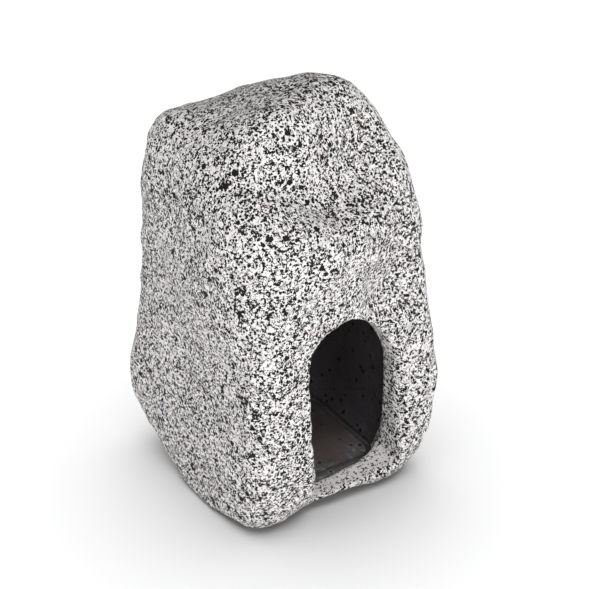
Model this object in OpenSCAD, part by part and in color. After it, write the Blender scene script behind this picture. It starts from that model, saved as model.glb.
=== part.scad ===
// Cave ornament for a fish tank: a hollow cast rock with an arched doorway,
// closed underneath by a bonded floor plate on four soft pads.
// The origin is on the resting plane, under the middle of the rock; the doorway faces -Y.

/* [Rock] */
// Overall width, left to right
rock_w = 98; // [90:1:118]
// Overall depth, doorway side to back
rock_d = 98; // [90:1:116]
// Height of the casting, from its underside to its crown
rock_h = 171; // [155:1:200]
// How crisply the rock's broad flats meet
edge_crispness = 11; // [8:1:16]
// How strongly the lobes and hollows stand out
relief = 1; // [0:0.1:1.4]

/* [Doorway] */
// Width of the doorway
door_w = 43; // [34:1:46]
// Height of the arch's top above the underside
door_top = 91; // [72:1:96]
// Height of the sill above the underside
sill_z = 7; // [6:0.5:12]
// How far the doorway leans to the left, in degrees
door_lean = 5; // [0:0.5:10]
// Radius of the doorway's eased rim, where it is eased the most
rim_r = 6; // [0:0.5:8]

/* [Chamber] */
// Ceiling height of the chamber above the underside
chamber_top = 122; // [104:1:130]
// Width of the chamber where it meets the floor
throat_w = 55; // [44:1:58]
// Depth of the chamber where it meets the floor
throat_d = 50; // [44:1:54]
// Diameter of the air vent through the back wall
vent_d = 5; // [3:0.5:8]

/* [Floor and pads] */
// Thickness of the floor plate
plate_t = 4.5; // [3:0.5:5]
// Width of the ledge that the floor plate seats on
ledge = 2.5; // [2:0.5:4]
// Diameter of a foot pad
pad_d = 10; // [8:0.5:12]
// How far a foot pad stands out below the casting
pad_stand = 1.2; // [0.8:0.1:2]

/* [Hidden] */

eps = 0.01;
turns = 72;
bands = 56;
chamber_turns = 48;
chamber_bands = 22;

// The rock is shaped outwards from its heart, a point at this height above its underside
heart_z = 70;

// Flats of the rock, each [compass angle, upward tilt, distance from the heart]
side_flats = [
    [-86, 1, 46],
    [183, 2, 46],
    [7, 3, 41],
    [84, 3, 41],
    [-33, -1, 77],
    [45, 14, 48],
    [133, 6, 70],
    [-121, 18, 67]];
crown_flats = [
    [88, 69, 99],
    [-78, 29, 65],
    [-6, 40, 118],
    [77, 39, 96],
    [182, 60, 94],
    [-150, 48, 129]];
foot_flats = [
    [-99, -41, 73],
    [174, -28, 118],
    [-2, -33, 73],
    [90, -44, 87],
    [134, -40, 82]];
rock_flats = concat(side_flats, crown_flats, foot_flats);

// Lobes (+) and hollows (-), each [compass angle, elevation, reach round, reach up, height]
reliefs = [
    [-105, 65, 20, 9, -9],
    [-134, 74, 12, 8, 6],
    [-45, 69, 14, 8, -7],
    [-24, 58, 16, 12, 2],
    [134, 59, 10, 6, 4],
    [-106, 49, 24, 11, 7],
    [-62, 31, 16, 13, -8.5],
    [-45, -21, 10, 15, 3],
    [133, -30, 20, 19, 6],
    [-154, 36, 33, 25, 6],
    [-131, -54, 8, 9, 6],
    [-82, -65, 12, 4, -4]];

// The chamber is a plainer dome round its own heart
chamber_z = 52;
chamber_crispness = 9;
chamber_flats = [
    [-90, -5, 35.5],
    [0, 5, 34],
    [90, 6, 32],
    [180, 5, 36],
    [45, 5, 40],
    [135, 5, 42],
    [-135, 4, 43],
    [-45, -4, 45.5],
    [-90, 48, 44],
    [0, 46, 46],
    [90, 48, 46],
    [180, 46, 48],
    [0, 90, chamber_top - chamber_z],
    [-90, -50, 60],
    [0, -52, 58],
    [90, -50, 60],
    [180, -52, 58]];

door_x = 7;
door_corner = 4;
shoulder_left = 22;
shoulder_right = 38;
arch_skew = 5;
door_from = 16;
door_face = 44;
door_beyond = 6;
door_step = 7.5;

// The rim is eased fully towards the lower right and hardly at all on the left
rim_turn = 325;
rim_least = 0.08;
rim_steps = 4;
rim_spread = 60;

throat_x = 0.5;
throat_y = -0.5;
throat_corner = 7;
throat_rise = 10;

plate_recess = 0.5;
plate_gap = 0.3;
seat_z = plate_recess + plate_t;

bead_r = 1.2;

pocket = 1;
pad_t = pad_stand + plate_recess + pocket;
pad_edge = 0.6;
pad_inset = 9;

vent_from = [-4, 12, 100];
vent_tilt = 38;
vent_reach = 80;

function toward(turn, up) = [cos(up) * cos(turn), cos(up) * sin(turn), sin(up)];
function total(v, i = 0) = i >= len(v) ? 0 : v[i] + total(v, i + 1);
function wrapped(a) = a - 360 * round(a / 360);

// Distance from a heart to a rounded blend of flats, along one direction
function reach(flats, turn, up, crisp) =
    let (u = toward(turn, up))
    pow(total([for (f = flats) pow(max(0, u * toward(f[0], f[1]) / f[2]), crisp)]), -1 / crisp);

function swell(turn, up) =
    total([for (s = reliefs)
        s[4] * exp(-pow(wrapped(turn - s[0]) * cos(up) / s[2], 2) - pow((up - s[1]) / s[3], 2))]);

// A point below the underside slides back along its ray until it lies on the underside
function grounded(v, z0) = v[2] >= 0 ? v : [0, 0, z0] + (v - [0, 0, z0]) * z0 / (z0 - v[2]);

function rock_point(turn, up) =
    let (r = reach(rock_flats, turn, up, edge_crispness) + relief * swell(turn, up))
    grounded(toward(turn, up) * r + [0, 0, heart_z], heart_z);

function chamber_point(turn, up) =
    let (r = reach(chamber_flats, turn, up, chamber_crispness))
    toward(turn, up) * r + [0, 0, chamber_z];

// Rings run from underneath to the crown, each one anticlockwise from above
function ring_up(i, n) = -90 + 180 * (i + 1) / (n + 1);
function span(v, k) = max([for (q = v) q[k]]) - min([for (q = v) q[k]]);
function middle(v, k) = (max([for (q = v) q[k]]) + min([for (q = v) q[k]])) / 2;

raw_rock = concat(
    [for (i = [0:bands - 1], j = [0:turns - 1]) rock_point(j * 360 / turns, ring_up(i, bands))],
    [rock_point(0, -90), rock_point(0, 90)]);
stretch = [rock_w / span(raw_rock, 0), rock_d / span(raw_rock, 1), rock_h / span(raw_rock, 2)];
rock_points = [for (q = raw_rock) [q[0] * stretch[0], q[1] * stretch[1], q[2] * stretch[2]]];

// From the heart's plan position to the middle of the rock's width and depth
centring = [-middle(rock_points, 0), -middle(rock_points, 1), 0];

chamber_points = concat(
    [for (i = [0:chamber_bands - 1], j = [0:chamber_turns - 1])
        chamber_point(j * 360 / chamber_turns, ring_up(i, chamber_bands))],
    [chamber_point(0, -90), chamber_point(0, 90)]);

// Skin over stacked rings of n points, closed by one point at each end
module skin(points, n, rings) {
    low = n * rings;
    high = low + 1;
    top = n * (rings - 1);
    sides = [for (i = [0:rings - 2], j = [0:n - 1], half = [0, 1])
        let (a = i * n + j, b = i * n + (j + 1) % n)
        half == 0 ? [a, a + n, b + n] : [a, b + n, b]];
    under = [for (j = [0:n - 1]) [low, j, (j + 1) % n]];
    over = [for (j = [0:n - 1]) [high, top + (j + 1) % n, top + j]];
    polyhedron(points, concat(sides, under, over));
}

module rounded_plan(w, d, r) {
    square([w - 2 * r, d], center = true);
    square([w, d - 2 * r], center = true);
    for (x = [-1, 1], y = [-1, 1])
        translate([x * (w / 2 - r), y * (d / 2 - r)])
            circle(r, $fn = 48);
}

module throat_plan(grow = 0) {
    translate([throat_x, throat_y])
        rounded_plan(throat_w + 2 * grow, throat_d + 2 * grow, throat_corner + grow);
}

// How much of the rim's full easing a side of the doorway has, by the way that side faces
function eased(turn) = rim_least + (1 - rim_least) * max(0, cos(turn - rim_turn));

// A quarter of the doorway's outline: half the arch or a lower corner
function door_quarter(centre, radii, from, ease) =
    [for (i = [0:90 / door_step])
        let (a = from + i * door_step, e = ease * eased(a))
        centre + [(radii[0] + e) * cos(a), (radii[1] + e) * sin(a)]];

// The outline of the doorway where it passes a distance y in front of the heart
function door_ring(y, ease) =
    let (w = door_w / 2, h = door_top - sill_z, c = [door_corner, door_corner])
    [for (q = concat(
        door_quarter([-arch_skew, h - shoulder_right], [w + arch_skew, shoulder_right], 0, ease),
        door_quarter([-arch_skew, h - shoulder_left], [w - arch_skew, shoulder_left], 90, ease),
        door_quarter([c[0] - w, c[1]], c, 180, ease),
        door_quarter([w - c[0], c[1]], c, 270, ease)))
        [q[0], -y, q[1]]];

// The way in: an arched tunnel through the front wall, opening outwards round its rim
module doorway() {
    turned = [for (i = [0:rim_steps]) i * rim_spread / rim_steps];
    rim = [for (a = turned) door_ring(door_face - rim_r * (1 - sin(a)), rim_r * (1 - cos(a)))];
    last_ease = rim_r * (1 - cos(rim_spread)) + door_beyond * tan(rim_spread);
    rings = concat([door_ring(door_from, 0)], rim,
        [door_ring(door_face - rim_r * (1 - sin(rim_spread)) + door_beyond, last_ease)]);
    core = (door_top - sill_z) / 2;
    points = concat([for (r = rings) each r],
        [[0, -door_from, core], [0, rings[len(rings) - 1][0][1], core]]);
    translate([door_x, 0, sill_z])
        rotate([0, -door_lean, 0])
            skin(points, len(rings[0]), len(rings));
}

module chamber() {
    skin(chamber_points, chamber_turns, chamber_bands);
    translate([0, 0, seat_z - eps])
        linear_extrude(throat_rise)
            throat_plan();
}

// The hollow casting: its chamber stops level with the ledge, over the rebate for the floor plate
module cast_rock() {
    difference() {
        skin(rock_points, turns, bands);
        intersection() {
            chamber();
            translate([-rock_w / 2, -rock_d / 2, seat_z - eps])
                cube([rock_w, rock_d, rock_h]);
        }
        doorway();
        translate([0, 0, -eps])
            linear_extrude(seat_z + eps)
                throat_plan(ledge);
    }
}

module vent_bore() {
    translate(vent_from)
        rotate([vent_tilt - 90, 0, 0])
            cylinder(h = vent_reach, d = vent_d);
}

module rock_shell() {
    color("Gainsboro")
        translate(centring + [0, 0, pad_stand])
            difference() {
                resize([rock_w, rock_d, rock_h])
                    cast_rock();
                vent_bore();
            }
}

function pad_spot(x, y) = [
    throat_x + x * (throat_w / 2 + ledge - pad_inset),
    throat_y + y * (throat_d / 2 + ledge - pad_inset)];

module floor_plate() {
    color("RosyBrown")
        translate(centring + [0, 0, pad_stand + plate_recess])
            difference() {
                linear_extrude(plate_t)
                    throat_plan(ledge - plate_gap);
                for (x = [-1, 1], y = [-1, 1])
                    translate(concat(pad_spot(x, y), -eps))
                        cylinder(h = pocket + eps, d = pad_d);
            }
}

module bead_section() {
    intersection() {
        circle(bead_r);
        translate([-bead_r, 0])
            square(bead_r);
    }
}

// One straight run of the bead; its wall side lies on the X axis
module bead_run(length) {
    translate([-length / 2, 0, 0])
        rotate([90, 0, 90])
            linear_extrude(length)
                bead_section();
}

module bond_bead() {
    long = throat_d - 2 * throat_corner;
    wide = throat_w - 2 * throat_corner;
    color("Gray")
        translate(centring + [throat_x, throat_y, pad_stand + seat_z]) {
            for (side = [0, 180])
                rotate([0, 0, side]) {
                    translate([0, throat_d / 2, 0])
                        bead_run(wide);
                    translate([-throat_w / 2, 0, 0])
                        rotate([0, 0, 90])
                            bead_run(long);
                }
            for (q = [0:3])
                rotate([0, 0, q * 90])
                    bead_corner(q % 2 == 0 ? [wide, long] : [long, wide]);
        }
}

// The bead's bend in the corner between +X and +Y of an area of the given straight lengths
module bead_corner(straight) {
    translate([straight[0] / 2, straight[1] / 2, 0])
        rotate_extrude(angle = 90)
            translate([throat_corner, 0])
                bead_section();
}

module foot_pad(x, y) {
    r = pad_d / 2;
    color("DimGray")
        translate(centring + concat(pad_spot(x, y), 0))
            rotate_extrude()
                polygon([[0, 0], [r - pad_edge, 0], [r, pad_edge], [r, pad_t], [0, pad_t]]);
}

module foot_pad_front_left() {
    foot_pad(-1, -1);
}

module foot_pad_front_right() {
    foot_pad(1, -1);
}

module foot_pad_rear_left() {
    foot_pad(-1, 1);
}

module foot_pad_rear_right() {
    foot_pad(1, 1);
}

rock_shell();
floor_plate();
bond_bead();
foot_pad_front_left();
foot_pad_front_right();
foot_pad_rear_left();
foot_pad_rear_right();
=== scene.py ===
import math

import bmesh
import bpy
import numpy as np
from mathutils import Matrix, Vector, noise
from mathutils.bvhtree import BVHTree


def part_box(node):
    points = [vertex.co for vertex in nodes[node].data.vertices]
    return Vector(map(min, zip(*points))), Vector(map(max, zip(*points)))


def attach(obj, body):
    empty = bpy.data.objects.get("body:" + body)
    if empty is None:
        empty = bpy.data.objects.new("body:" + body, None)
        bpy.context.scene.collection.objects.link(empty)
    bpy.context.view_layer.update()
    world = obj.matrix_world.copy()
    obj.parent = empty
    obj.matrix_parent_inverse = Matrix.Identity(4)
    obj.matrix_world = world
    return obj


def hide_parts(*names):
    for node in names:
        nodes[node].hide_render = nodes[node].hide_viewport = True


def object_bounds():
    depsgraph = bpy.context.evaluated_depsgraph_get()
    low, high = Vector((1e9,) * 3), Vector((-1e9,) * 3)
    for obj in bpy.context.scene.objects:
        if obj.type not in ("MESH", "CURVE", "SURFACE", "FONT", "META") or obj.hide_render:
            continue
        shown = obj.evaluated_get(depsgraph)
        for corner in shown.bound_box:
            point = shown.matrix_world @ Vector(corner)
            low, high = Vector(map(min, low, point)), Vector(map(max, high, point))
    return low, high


MM = 0.001

# cell sizes of the remeshed pieces
ROCK_CELL = 1.15 * MM
FLOOR_CELL = 0.9 * MM
BEAD_CELL = 0.35 * MM
WELD = 0.005 * MM

# telling the cave's faces from the outside ones
RAY_CLEARANCE = 0.6 * MM
RAY_LENGTH = 0.2
CAVE_FRONT = 6 * MM       # how far behind the floor plate's front edge the cave proper starts
HEART_HEIGHT = 50 * MM    # of the cave's heart, above the floor plate
FACING_HEART = 0.2        # least cosine at which a face counts as turned towards the heart

# the photo's viewing angle and framing
VIEW_AZIMUTH, VIEW_ELEVATION, VIEW_DISTANCE = -33, 31, 0.559
AIM_HEIGHT, AIM_RIGHT, AIM_UP = 78 * MM, 4.9 * MM, 2.8 * MM
LENS, SENSOR = 85, 36

# studio
FLOOR_SIZE = 8.0
FLOOR_ROUGH = 0.9
GLOW_START, GLOW_END = 450.0, 1700.0    # mm from the ornament
GLOW_NEAR, GLOW_FAR = 0.02, 0.95
SKY_FILL = 0.352
SKY_SEEN = 1.0

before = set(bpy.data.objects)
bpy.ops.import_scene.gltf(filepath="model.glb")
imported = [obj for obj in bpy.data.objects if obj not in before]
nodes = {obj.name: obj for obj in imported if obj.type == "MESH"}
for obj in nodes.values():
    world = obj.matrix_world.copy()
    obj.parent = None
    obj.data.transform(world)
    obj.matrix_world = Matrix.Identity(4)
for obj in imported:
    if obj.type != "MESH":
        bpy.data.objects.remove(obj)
cad_low, cad_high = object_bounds()
scene = bpy.context.scene


# ---------------------------------------------------------------- mesh tools
def welded_copy(node, name):
    """A closed copy of a CAD node's mesh, as a new object."""
    mesh = nodes[node].data.copy()
    bm = bmesh.new()
    bm.from_mesh(mesh)
    bmesh.ops.remove_doubles(bm, verts=bm.verts, dist=WELD)
    bm.to_mesh(mesh)
    bm.free()
    mesh.materials.clear()
    obj = bpy.data.objects.new(name, mesh)
    scene.collection.objects.link(obj)
    return obj


def remeshed(obj, size):
    """Replaces the object's mesh with an even one of the given cell size."""
    mod = obj.modifiers.new("remesh", "REMESH")
    mod.mode = "VOXEL"
    mod.voxel_size = size
    graph = bpy.context.evaluated_depsgraph_get()
    graph.update()
    mesh = bpy.data.meshes.new_from_object(obj.evaluated_get(graph))
    obj.modifiers.clear()
    obj.data = mesh
    return obj


def points_of(mesh):
    flat = np.empty(len(mesh.vertices) * 3)
    mesh.vertices.foreach_get("co", flat)
    return flat.reshape(-1, 3)


def normals_of(mesh):
    flat = np.empty(len(mesh.vertices) * 3)
    mesh.vertex_normals.foreach_get("vector", flat)
    return flat.reshape(-1, 3)


def set_points(mesh, points):
    mesh.vertices.foreach_set("co", points.ravel())
    mesh.update()


class Spread:
    """Averages a value over each vertex's neighbours."""

    SMOOTH_IN, SMOOTH_OUT = 0.5, -0.52

    def __init__(self, mesh):
        flat = np.empty(len(mesh.edges) * 2, dtype=np.int64)
        mesh.edges.foreach_get("vertices", flat)
        self.a, self.b = flat.reshape(-1, 2).T
        self.n = len(mesh.vertices)
        self.count = np.bincount(self.a, minlength=self.n) + np.bincount(self.b, minlength=self.n)
        self.count = np.maximum(self.count, 1)

    def mean(self, value):
        total = np.bincount(self.a, value[self.b], self.n)
        total = total + np.bincount(self.b, value[self.a], self.n)
        return total / self.count

    def blur(self, value, times):
        for _ in range(times):
            value = 0.5 * value + 0.5 * self.mean(value)
        return value

    def smooth(self, points, weight, times):
        """Smooths without shrinking: each pass in is followed by a slightly longer one out."""
        for _ in range(times):
            for share in (self.SMOOTH_IN, self.SMOOTH_OUT):
                near = np.stack([self.mean(points[:, k]) for k in range(3)], axis=1)
                points = points + (near - points) * (share * weight)[:, None]
        return points


def step(value, low, high):
    """Rises smoothly from 0 at low to 1 at high."""
    t = np.clip((value - low) / (high - low), 0, 1)
    return t * t * (3 - 2 * t)


def fractal(points, wavelength, seed, octaves):
    """Smooth noise round 0 with the given longest wavelength."""
    finer, weaker = 2.03, 0.5
    shift = Vector([seed * way for way in (7.31, 3.17, 5.73)])
    out = np.zeros(len(points))
    for i, p in enumerate(points):
        q = Vector(p) / wavelength + shift
        value, gain = 0.0, 1.0
        for _ in range(octaves):
            value += gain * noise.noise(q)
            q = q * finer
            gain *= weaker
        out[i] = value
    return out


def store(mesh, name, value):
    layer = mesh.attributes.new(name, "FLOAT", "POINT")
    layer.data.foreach_set("value", value.astype(np.float32))


def stand_for(obj, node, material):
    """Finishes a piece that replaces a CAD node."""
    mesh = obj.data
    mesh.polygons.foreach_set("use_smooth", [True] * len(mesh.polygons))
    mesh.update()
    mesh.materials.append(material)
    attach(obj, "root")
    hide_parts(node)


# ---------------------------------------------------------------- node tools
class Tree:
    """Shorthand for building a material's nodes. Wavelengths, sizes and places are in mm."""

    USUAL_LOW, USUAL_HIGH = 0.3, 0.7    # where nearly all of a noise's values lie

    def __init__(self, name):
        self.mat = bpy.data.materials.new(name)
        self.mat.use_nodes = True
        self.t = self.mat.node_tree
        self.bsdf = self.t.nodes["Principled BSDF"]
        coord = self.t.nodes.new("ShaderNodeTexCoord")
        scale = self.t.nodes.new("ShaderNodeVectorMath")
        scale.operation = "SCALE"
        scale.inputs["Scale"].default_value = 1 / MM
        self.t.links.new(coord.outputs["Object"], scale.inputs[0])
        self.mm = scale.outputs[0]

    def feed(self, socket, value):
        if isinstance(value, bpy.types.NodeSocket):
            self.t.links.new(value, socket)
        elif value is not None:
            socket.default_value = value

    def noise(self, wavelength, detail=2.0, rough=0.5, vector=None, warp=0.0):
        n = self.t.nodes.new("ShaderNodeTexNoise")
        self.feed(n.inputs["Vector"], vector or self.mm)
        n.inputs["Scale"].default_value = 1 / wavelength
        n.inputs["Detail"].default_value = detail
        n.inputs["Roughness"].default_value = rough
        n.inputs["Distortion"].default_value = warp
        return n.outputs["Fac"]

    def cells(self, size, vector=None, output="Distance"):
        n = self.t.nodes.new("ShaderNodeTexVoronoi")
        self.feed(n.inputs["Vector"], vector or self.mm)
        n.inputs["Scale"].default_value = 1 / size
        return n.outputs[output]

    def math(self, op, a, b=None, c=None):
        n = self.t.nodes.new("ShaderNodeMath")
        n.operation = op
        for socket, value in zip(n.inputs, (a, b, c)):
            self.feed(socket, value)
        return n.outputs[0]

    def scaled(self, value, by, plus):
        return self.math("MULTIPLY_ADD", value, by, plus)

    def most(self, first, *others):
        for other in others:
            first = self.math("MAXIMUM", first, other)
        return first

    def ramp(self, value, low, high, out_low=0.0, out_high=1.0):
        n = self.t.nodes.new("ShaderNodeMapRange")
        n.interpolation_type = "SMOOTHSTEP"
        self.feed(n.inputs["Value"], value)
        self.feed(n.inputs["From Min"], low)
        self.feed(n.inputs["From Max"], high)
        self.feed(n.inputs["To Min"], out_low)
        self.feed(n.inputs["To Max"], out_high)
        return n.outputs["Result"]

    def past(self, limit, soft):
        if isinstance(limit, bpy.types.NodeSocket):
            return self.math("ADD", limit, soft)
        return limit + soft

    def above(self, value, limit, soft, strength=1.0):
        """Nothing up to the limit, then rising to the strength over soft."""
        return self.ramp(value, limit, self.past(limit, soft), 0.0, strength)

    def below(self, value, limit, soft, strength=1.0):
        """The strength up to the limit, then fading to nothing over soft."""
        return self.ramp(value, limit, self.past(limit, soft), strength, 0.0)

    def between(self, low, high, wavelength, detail):
        """A value that wanders from low to high over the surface."""
        wander = self.noise(wavelength, detail)
        return self.ramp(wander, self.USUAL_LOW, self.USUAL_HIGH, low, high)

    def mix(self, fac, a, b):
        n = self.t.nodes.new("ShaderNodeMix")
        n.data_type = "RGBA"
        self.feed(n.inputs["Factor"], fac)
        self.feed(n.inputs[6], a)
        self.feed(n.inputs[7], b)
        return n.outputs[2]

    def attribute(self, name):
        n = self.t.nodes.new("ShaderNodeAttribute")
        n.attribute_name = name
        return n.outputs["Fac"]

    def shifted(self, x, y, z):
        n = self.t.nodes.new("ShaderNodeVectorMath")
        n.operation = "ADD"
        self.feed(n.inputs[0], self.mm)
        n.inputs[1].default_value = (x, y, z)
        return n.outputs[0]

    def along_y(self):
        n = self.t.nodes.new("ShaderNodeSeparateXYZ")
        self.feed(n.inputs[0], self.mm)
        return n.outputs["Y"]

    def warped(self, amount, wavelength):
        """Object coordinates, bent by up to about half the amount."""
        n = self.t.nodes.new("ShaderNodeTexNoise")
        self.feed(n.inputs["Vector"], self.mm)
        n.inputs["Scale"].default_value = 1 / wavelength
        n.inputs["Detail"].default_value = 1.0
        bend = self.t.nodes.new("ShaderNodeVectorMath")
        bend.operation = "MULTIPLY_ADD"
        self.feed(bend.inputs[0], n.outputs["Color"])
        bend.inputs[1].default_value = (amount, amount, amount)
        self.feed(bend.inputs[2], self.mm)
        return bend.outputs[0]

    def bump(self, height, distance, strength, normal=None):
        n = self.t.nodes.new("ShaderNodeBump")
        n.inputs["Strength"].default_value = strength
        n.inputs["Distance"].default_value = distance
        self.feed(n.inputs["Height"], height)
        if normal is not None:
            self.feed(n.inputs["Normal"], normal)
        return n.outputs["Normal"]

    def finish(self, color, rough, normal=None, shine=0.5):
        self.bsdf.inputs["Specular IOR Level"].default_value = shine
        self.feed(self.bsdf.inputs["Base Color"], color)
        self.feed(self.bsdf.inputs["Roughness"], rough)
        if normal is not None:
            self.feed(self.bsdf.inputs["Normal"], normal)
        return self.mat


# ---------------------------------------------------------------- colours, linear
def rgb(r, g, b):
    return (r, g, b, 1.0)


COAT_BLACK = rgb(0.008, 0.008, 0.008)
COAT_BLACK_WORN = rgb(0.020, 0.019, 0.018)
COAT_WHITE = rgb(0.92, 0.892, 0.865)
COAT_GREY = rgb(0.73, 0.712, 0.695)
COAT_STAIN = rgb(0.74, 0.58, 0.44)
COAT_REVEAL = rgb(0.90, 0.875, 0.855)
CASTING = rgb(0.054, 0.050, 0.055)
CASTING_PALE = rgb(0.098, 0.091, 0.096)
# painted shade for the back of the cave
CASTING_PAINTED_SHADE = rgb(0.040, 0.037, 0.040)
SPATTER = rgb(0.010, 0.010, 0.010)
WASH = rgb(0.165, 0.157, 0.159)
WASH_GREY = rgb(0.118, 0.112, 0.115)
WASH_PALE = rgb(0.235, 0.226, 0.228)
WASH_BROWN = rgb(0.118, 0.090, 0.082)
# painted shade for the back of the cave floor
WASH_PAINTED_SHADE = rgb(0.040, 0.036, 0.035)
SPECK = rgb(0.015, 0.015, 0.015)
GLUE = rgb(0.050, 0.046, 0.045)
GLUE_PALE = rgb(0.080, 0.073, 0.070)
RUBBER = rgb(0.018, 0.018, 0.019)
RUBBER_WORN = rgb(0.045, 0.044, 0.043)
STUDIO_FLOOR = rgb(0.62, 0.62, 0.625)
STUDIO_GLOW = rgb(1.0, 1.0, 1.0)
STUDIO_SKY = rgb(0.98, 0.985, 1.0)


# ---------------------------------------------------------------- materials
def coat_marks(t, sill, reveal):
    """The coat's black marks, from 0 to 1, sparser over the reveal and most of all the sill."""
    patchy = t.between(0.011, -0.011, wavelength=20, detail=2)
    # irregular chips
    edge = t.math("ADD", t.scaled(sill, 0.040, 0.549), patchy)
    edge = t.scaled(reveal, 0.028, edge)
    chip = t.above(t.noise(1.3, 1.6, 0.6, warp=1.1), edge, soft=0.014)
    # bigger ragged marks, none on the sill
    ragged = t.noise(2.7, 2.4, 0.62, vector=t.shifted(23, 61, 37), warp=1.3)
    ragged = t.scaled(patchy, -1.5, t.scaled(sill, -0.2, ragged))
    mark = t.above(ragged, 0.612, soft=0.012)
    # separate grains of several sizes
    bent = t.warped(0.9, 0.9)
    reach = t.scaled(t.cells(1.45, vector=bent, output="Color"), 0.34, 0.13)
    reach = t.scaled(reveal, 0.07, t.scaled(sill, -0.13, reach))
    grain = t.below(t.cells(1.45, vector=bent), reach, soft=0.04)
    # short curly strings, none on the sill
    curl = t.noise(2.0, 1.0, vector=t.shifted(71, 3, 29), warp=0.6)
    curl = t.math("ABSOLUTE", t.math("SUBTRACT", curl, 0.5))
    broken = t.above(t.noise(1.9, 1.0, vector=t.shifted(17, 43, 8)), 0.47, soft=0.03)
    string = t.math("MULTIPLY", t.below(curl, 0.014, soft=0.007), broken)
    string = t.math("MULTIPLY", string, t.below(sill, 0.2, soft=0.4))
    # big blots, few and far between
    blot = t.scaled(t.noise(1.4, 2), 0.16, t.cells(9, vector=t.shifted(13, 5, 41)))
    blot = t.below(blot, 0.20, soft=0.012)
    return t.most(chip, grain, string, blot, mark)


def coat_ground(t, reveal):
    """The coat's warm white, mottled grey, with a few faint stains, and cleaner in the reveal."""
    haze = t.noise(1.9, 3, 0.65, vector=t.shifted(31, 7, 3))
    ground = t.mix(t.above(haze, 0.40, soft=0.20), COAT_WHITE, COAT_GREY)
    stain = t.noise(9, 1, vector=t.shifted(3, 57, 19))
    ground = t.mix(t.above(stain, 0.745, soft=0.055, strength=0.3), ground, COAT_STAIN)
    return t.mix(t.math("MULTIPLY", reveal, 0.75), ground, COAT_REVEAL)


def bare_casting(t):
    """The inside of the cave: painted shade darkens it towards the back, with a few spatters of
    the coat's black.
    """
    bare = t.mix(t.noise(9, 3), CASTING, CASTING_PALE)
    # painted shade: the casting darkens towards the back, where less light reaches
    bare = t.mix(t.above(t.along_y(), -22.0, soft=40.0, strength=0.6), bare, CASTING_PAINTED_SHADE)
    spatter = t.scaled(t.noise(1.3, 2), 0.3, t.cells(4.2, vector=t.shifted(2, 9, 17)))
    reach = t.between(0.21, 0.40, wavelength=7, detail=2)
    coarse = t.below(spatter, reach, soft=0.03)
    fine = t.below(t.cells(2.3, vector=t.shifted(44, 3, 12)), 0.13, soft=0.07, strength=0.7)
    return t.mix(t.most(coarse, fine), bare, SPATTER)


def granite_coat():
    t = Tree("granite_coat")
    reveal = t.attribute("reveal")
    marks = coat_marks(t, t.attribute("sill"), reveal)
    black = t.mix(t.noise(4, 2), COAT_BLACK, COAT_BLACK_WORN)
    coat = t.mix(marks, coat_ground(t, reveal), black)
    # the coat ends in a slightly torn edge
    tear = t.math("SUBTRACT", t.noise(2.2, 2), 0.5)
    inner = t.above(t.scaled(tear, 0.5, t.attribute("depth")), 0.44, soft=0.10)
    color = t.mix(inner, coat, bare_casting(t))
    rough = t.between(0.48, 0.64, wavelength=3, detail=3)
    rough = t.math("ADD", rough, t.math("MULTIPLY", marks, -0.08))
    normal = t.bump(t.noise(0.9, 2, 0.6), 0.10 * MM, 0.7)
    normal = t.bump(t.noise(3.2, 2), 0.35 * MM, 0.8, normal)
    normal = t.bump(marks, 0.05 * MM, 0.5, normal)
    return t.finish(color, rough, normal, shine=0.07)


def bare_resin():
    t = Tree("bare_resin")
    # a mottled grey wash, brown in the middle, with painted shade darkening it towards the back
    wash = t.noise(18, 3, 0.55)
    base = t.mix(t.above(wash, 0.38, soft=0.24), WASH, WASH_GREY)
    base = t.mix(t.above(t.noise(3.0, 3, 0.6), 0.50, soft=0.14), base, WASH_PALE)
    brown = t.scaled(t.along_y(), 0.008, t.noise(26, 2, vector=t.shifted(21, 8, 0)))
    base = t.mix(t.above(brown, 0.44, soft=0.14), base, WASH_BROWN)
    # painted shade: the floor darkens towards the back, where less light reaches
    back = t.scaled(wash, 12.0, t.along_y())
    base = t.mix(t.above(back, -14.0, soft=26.0, strength=0.75), base, WASH_PAINTED_SHADE)
    specks = t.scaled(t.noise(1.3, 2), 0.3, t.cells(5.5))
    color = t.mix(t.below(specks, 0.27, soft=0.04), base, SPECK)
    rough = t.between(0.62, 0.8, wavelength=4, detail=3)
    return t.finish(color, rough, t.bump(t.noise(2.4, 4, 0.6), 0.4 * MM, 0.8))


def adhesive():
    t = Tree("adhesive")
    color = t.mix(t.noise(3.5, 3), GLUE, GLUE_PALE)
    rough = t.between(0.6, 0.75, wavelength=2.0, detail=2)
    return t.finish(color, rough, t.bump(t.noise(1.8, 3), 0.25 * MM, 0.7), shine=0.2)


def soft_pad():
    t = Tree("soft_pad")
    color = t.mix(t.noise(2.2, 3), RUBBER, RUBBER_WORN)
    rough = t.between(0.68, 0.85, wavelength=1.5, detail=2)
    return t.finish(color, rough, t.bump(t.noise(0.5, 3, 0.7), 0.10 * MM, 0.8))


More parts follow.
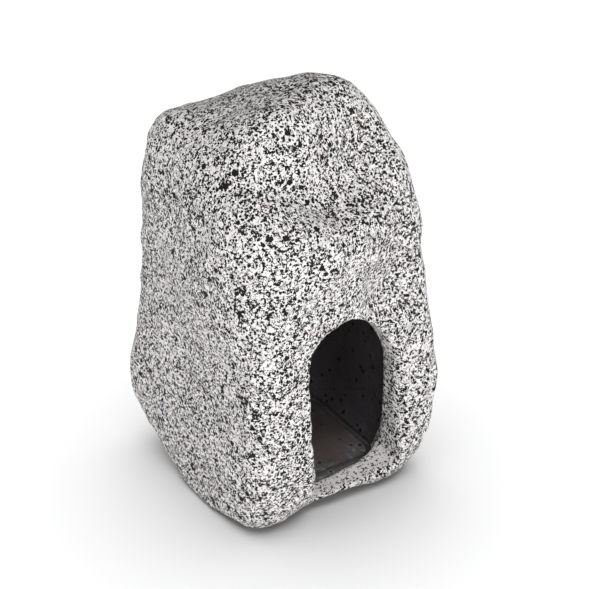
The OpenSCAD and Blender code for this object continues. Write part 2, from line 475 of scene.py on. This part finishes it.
# ---------------------------------------------------------------- the rock
def covered_and_bare(rock, points, normals):
    """Marks the points that face some part of the casting, and those the coat doesn't reach.

    The coat stops where the way out through the doorway isn't in sight."""
    plate_low, plate_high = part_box("floor_plate")
    graph = bpy.context.evaluated_depsgraph_get()
    trees = [BVHTree.FromObject(obj, graph) for obj in (rock, nodes["floor_plate"])]

    def blocked(start, way):
        return any(tree.ray_cast(start, way, RAY_LENGTH)[0] is not None for tree in trees)

    covered = np.zeros(len(points))
    bare = np.zeros(len(points))
    outward = Vector((0, -1, 0))
    heart = (plate_low + plate_high) / 2 + Vector((0, 0, HEART_HEIGHT))
    for i in range(len(points)):
        n = Vector(normals[i])
        p = Vector(points[i]) + n * RAY_CLEARANCE
        # the cave's back wall faces the doorway, so it's told by facing the heart
        deep = p.y > plate_low.y + CAVE_FRONT
        if deep and (heart - p).normalized().dot(n) > FACING_HEART:
            covered[i] = bare[i] = 1
        elif blocked(p, n):
            covered[i] = 1
            out = n + outward
            seen = out.length > 0.5 and not deep
            bare[i] = not seen or blocked(p, out.normalized())
    return covered, bare


def make_rock(coat):
    rock = remeshed(welded_copy("rock_shell", "rock_casting"), ROCK_CELL)
    mesh = rock.data
    spread = Spread(mesh)
    points = points_of(mesh)
    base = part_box("floor_plate")[0].z

    covered, bare = covered_and_bare(rock, points, normals_of(mesh))
    covered = (spread.blur(covered, 4) > 0.5).astype(float)
    bare = spread.blur((spread.blur(bare, 3) > 0.5).astype(float), 1)
    cover = spread.blur(covered, 14)

    # even out the flats outside; keep the doorway's inner edges crisp
    weight = 0.10 + 0.90 * (1 - step(cover, 0.35, 0.9))
    weight *= 0.4 + 0.6 * step(points[:, 2], base, base + 8 * MM)
    points = spread.smooth(points, weight, 14)
    set_points(mesh, points)
    normals = normals_of(mesh)

    # broad swells and small dents outside, weaker near the doorway and the base; ripples inside
    near_doorway = step(spread.blur(cover, 60), 0.02, 0.3)
    outside = (1 - step(cover, 0.1, 0.8)) * (1 - 0.65 * near_doorway)
    clear_of_base = step(points[:, 2], base, base + 12 * MM)
    swell = (fractal(points, 34 * MM, seed=29, octaves=2) * 0.9 + 0.3) * MM
    dents = fractal(points, 13 * MM, seed=2, octaves=2) * 1.0 * MM
    ripple = fractal(points, 16 * MM, seed=3, octaves=2) * 0.5 * MM
    amount = (swell + dents) * outside * (0.35 + 0.65 * clear_of_base)
    amount = amount + ripple * (1 - outside) * 0.6
    points = points + normals * amount[:, None]
    points[:, 2] = np.maximum(points[:, 2], base - 0.4 * MM)
    set_points(mesh, points)

    store(mesh, "reveal", cover)
    store(mesh, "sill", cover * step(normals[:, 2], 0.3, 0.8))
    store(mesh, "depth", bare)
    stand_for(rock, "rock_shell", coat)


# ---------------------------------------------------------------- floor, bead, pads
def make_floor(material):
    floor = remeshed(welded_copy("floor_plate", "cave_floor"), FLOOR_CELL)
    points = points_of(floor.data)
    low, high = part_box("floor_plate")
    # only the top is uneven, and only clear of the edge
    top = step(points[:, 2], high.z - 1.2 * MM, high.z - 0.3 * MM)
    to_edge = np.minimum.reduce([
        points[:, 0] - low.x, high.x - points[:, 0],
        points[:, 1] - low.y, high.y - points[:, 1]])
    inner = step(to_edge, 4 * MM, 8 * MM)
    rise = fractal(points, 15 * MM, seed=5, octaves=3) * 0.45 * MM
    points[:, 2] += rise * top * inner
    set_points(floor.data, points)
    stand_for(floor, "floor_plate", material)


def make_bead(material):
    bead = remeshed(welded_copy("bond_bead", "seam_bead"), BEAD_CELL)
    mesh = bead.data
    points = points_of(mesh)
    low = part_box("bond_bead")[0].z
    # lumps grow with the height above the plate
    lift = step(points[:, 2], low + 0.2 * MM, low + 1.2 * MM)
    lumps = fractal(points, 7 * MM, seed=6, octaves=2) * 0.35 * MM
    points = points + normals_of(mesh) * (lumps * lift)[:, None]
    points = Spread(mesh).smooth(points, np.full(len(points), 0.6), 3)
    set_points(mesh, points)
    stand_for(bead, "bond_bead", material)


def make_pads(material):
    for place in ("front_left", "front_right", "rear_left", "rear_right"):
        node = nodes["foot_pad_" + place]
        node.data.materials.clear()
        node.data.materials.append(material)
        bevel = node.modifiers.new("soft_edge", "BEVEL")
        bevel.width = 0.25 * MM
        bevel.segments = 3
        bevel.limit_method = "ANGLE"


# ---------------------------------------------------------------- studio
def direction(azimuth, elevation):
    a, e = math.radians(azimuth), math.radians(elevation)
    return Vector((math.sin(a) * math.cos(e), -math.cos(a) * math.cos(e), math.sin(e)))


def area_light(name, azimuth, elevation, distance, size, power):
    """A round light turned towards the ornament's middle."""
    data = bpy.data.lights.new(name, "AREA")
    data.shape = "DISK"
    data.size = size
    data.energy = power
    obj = bpy.data.objects.new(name, data)
    back = direction(azimuth, elevation)
    obj.location = (cad_low + cad_high) / 2 + back * distance
    obj.rotation_euler = back.to_track_quat("Z", "Y").to_euler()
    scene.collection.objects.link(obj)
    return obj


def make_studio_floor():
    bpy.ops.mesh.primitive_plane_add(size=FLOOR_SIZE, location=(0, 0, 0))
    floor = bpy.context.object
    floor.name = "studio_floor"
    # far from the ornament the floor glows, so that it stays white out to the horizon
    t = Tree("studio_white")
    far = t.t.nodes.new("ShaderNodeVectorMath")
    far.operation = "LENGTH"
    t.feed(far.inputs[0], t.mm)
    glow = t.ramp(far.outputs["Value"], GLOW_START, GLOW_END, GLOW_NEAR, GLOW_FAR)
    t.feed(t.bsdf.inputs["Emission Color"], STUDIO_GLOW)
    t.feed(t.bsdf.inputs["Emission Strength"], glow)
    floor.data.materials.append(t.finish(STUDIO_FLOOR, FLOOR_ROUGH))
    return floor


def make_sky():
    """White behind the ornament, but only a weak fill light on it."""
    world = bpy.data.worlds.new("studio")
    world.use_nodes = True
    tree = world.node_tree
    background = tree.nodes["Background"]
    background.inputs["Color"].default_value = STUDIO_SKY
    path = tree.nodes.new("ShaderNodeLightPath")
    strength = tree.nodes.new("ShaderNodeMapRange")
    strength.inputs["To Min"].default_value = SKY_FILL
    strength.inputs["To Max"].default_value = SKY_SEEN
    tree.links.new(path.outputs["Is Camera Ray"], strength.inputs["Value"])
    tree.links.new(strength.outputs["Result"], background.inputs["Strength"])
    scene.world = world


def make_lights(floor):
    key = area_light("key", azimuth=-19, elevation=35, distance=2.2, size=2.4, power=38)
    overhead = area_light("overhead", azimuth=147, elevation=88, distance=3.0, size=4.0, power=178)
    # the key lights the ornament alone, the overhead the floor alone
    for light, state in ((key, "EXCLUDE"), (overhead, "INCLUDE")):
        linked = bpy.data.collections.new(light.name + "_links")
        linked.objects.link(floor)
        linked.collection_objects[0].light_linking.link_state = state
        light.light_linking.receiver_collection = linked


def make_camera():
    back = direction(VIEW_AZIMUTH, VIEW_ELEVATION)
    a = math.radians(VIEW_AZIMUTH)
    right = Vector((math.cos(a), math.sin(a), 0))
    up = back.cross(right)
    aim = Vector((0, 0, AIM_HEIGHT)) + right * AIM_RIGHT + up * AIM_UP
    data = bpy.data.cameras.new("camera")
    data.lens = LENS
    data.sensor_width = SENSOR
    data.clip_start = 0.01
    cam = bpy.data.objects.new("camera", data)
    rotation = Matrix((right, up, back)).transposed()
    cam.matrix_world = Matrix.Translation(aim + back * VIEW_DISTANCE) @ rotation.to_4x4()
    scene.collection.objects.link(cam)
    scene.camera = cam


make_rock(granite_coat())
make_floor(bare_resin())
make_bead(adhesive())
make_pads(soft_pad())
make_lights(make_studio_floor())
make_sky()
make_camera()
scene.view_settings.view_transform = "Standard"
